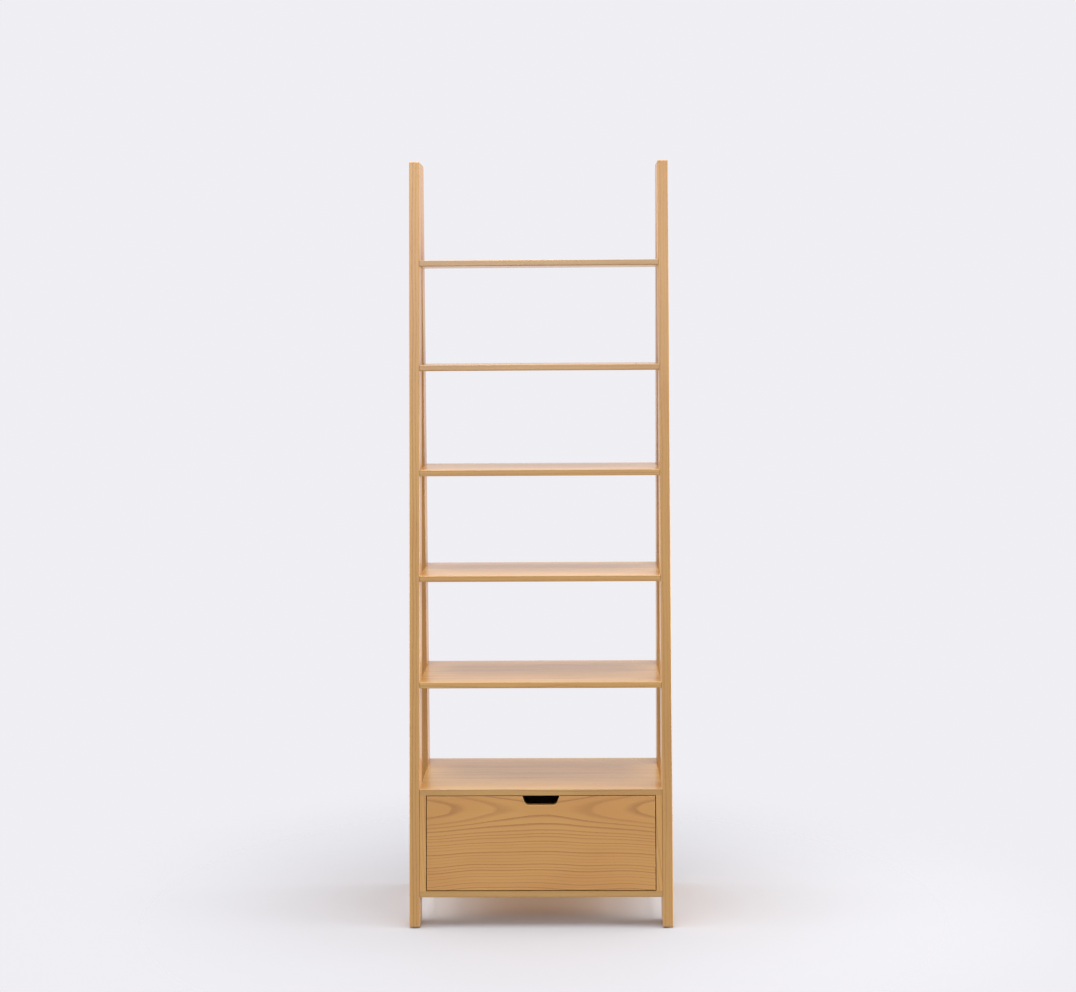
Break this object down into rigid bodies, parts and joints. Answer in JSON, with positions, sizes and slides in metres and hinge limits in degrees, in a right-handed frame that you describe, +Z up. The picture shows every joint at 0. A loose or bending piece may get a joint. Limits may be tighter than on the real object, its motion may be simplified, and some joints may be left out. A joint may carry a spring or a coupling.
{
  "type": "ladder shelf",
  "caption": "Free-standing ladder shelf in ash: front legs lean back on upright rear legs, shelves get shallower upwards, and an inset drawer at the bottom slides out.",
  "frame": {"origin": "middle of the footprint, on the floor", "axes": "+X across to the viewer's right, -Y to the front, +Z up"},
  "size_m": [0.65, 0.4092, 1.89],
  "materials": {
    "ash_leg": "clear satin lacquer on solid ash, grain along the leg",
    "ash_board": "clear satin lacquer on edge-glued ash boards, grain across the width",
    "ash_drawer_front": "clear satin lacquer on crown-cut ash with arched figure",
    "drawer_wood": "sealed paulownia or birch, fine straight grain",
    "plywood": "thin sealed birch plywood",
    "zinc_steel": "bright zinc-plated steel",
    "bearing_steel": "stamped steel cage with polished balls",
    "beech_dowel": "fluted beech dowel, hidden",
    "nylon": "dark brown nylon glide"
  },
  "bodies": {
    "frame": {"barrel_nuts": "zinc_steel", "cabinet_back": "plywood", "cabinet_bottom": "ash_board", "cabinet_dowels": "beech_dowel", "cabinet_side_left": "ash_board", "cabinet_side_right": "ash_board", "cabinet_top": "ash_board", "foot_glide_front_left": "nylon", "foot_glide_front_right": "nylon", "foot_glide_rear_left": "nylon", "foot_glide_rear_right": "nylon", "front_leg_left": "ash_leg", "front_leg_right": "ash_leg", "leg_screws": "zinc_steel", "leg_seat_dowels": "beech_dowel", "rear_leg_left": "ash_leg", "rear_leg_right": "ash_leg", "runner_outer_left": "zinc_steel", "runner_outer_right": "zinc_steel", "runner_screws_cabinet": "zinc_steel", "shelf_1": "ash_board", "shelf_2": "ash_board", "shelf_3": "ash_board", "shelf_4": "ash_board", "shelf_5": "ash_board", "shelf_bolts": "zinc_steel", "shelf_dowels": "beech_dowel"},
    "drawer": {"drawer_front": "ash_drawer_front", "drawer_side_left": "drawer_wood", "drawer_side_right": "drawer_wood", "drawer_back": "drawer_wood", "drawer_bottom": "plywood", "runner_inner_left": "zinc_steel", "runner_inner_right": "zinc_steel", "runner_screws_drawer": "zinc_steel", "drawer_dowels": "beech_dowel"},
    "runner_middles": {"runner_middle_left": "zinc_steel", "runner_middle_right": "zinc_steel"},
    "outer_ball_cages": {"ball_cage_outer_left": "bearing_steel", "ball_cage_outer_right": "bearing_steel"},
    "inner_ball_cages": {"ball_cage_inner_left": "bearing_steel", "ball_cage_inner_right": "bearing_steel"}
  },
  "joints": [
    {"name": "drawer_slide", "type": "slide", "parent": "frame", "child": "drawer", "axis": [0, -1, 0], "range_m": [0, 0.28]},
    {"name": "runner_middle_slide", "type": "slide", "parent": "frame", "child": "runner_middles", "axis": [0, -1, 0], "range_m": [0, 0.14]},
    {"name": "outer_ball_roll", "type": "slide", "parent": "frame", "child": "outer_ball_cages", "axis": [0, -1, 0], "range_m": [0, 0.07]},
    {"name": "inner_ball_roll", "type": "slide", "parent": "frame", "child": "inner_ball_cages", "axis": [0, -1, 0], "range_m": [0, 0.21]}
  ],
  "couplings": [
    {"joint": "runner_middle_slide", "follows": "drawer_slide", "ratio": 0.5},
    {"joint": "outer_ball_roll", "follows": "drawer_slide", "ratio": 0.25},
    {"joint": "inner_ball_roll", "follows": "drawer_slide", "ratio": 0.75}
  ]
}
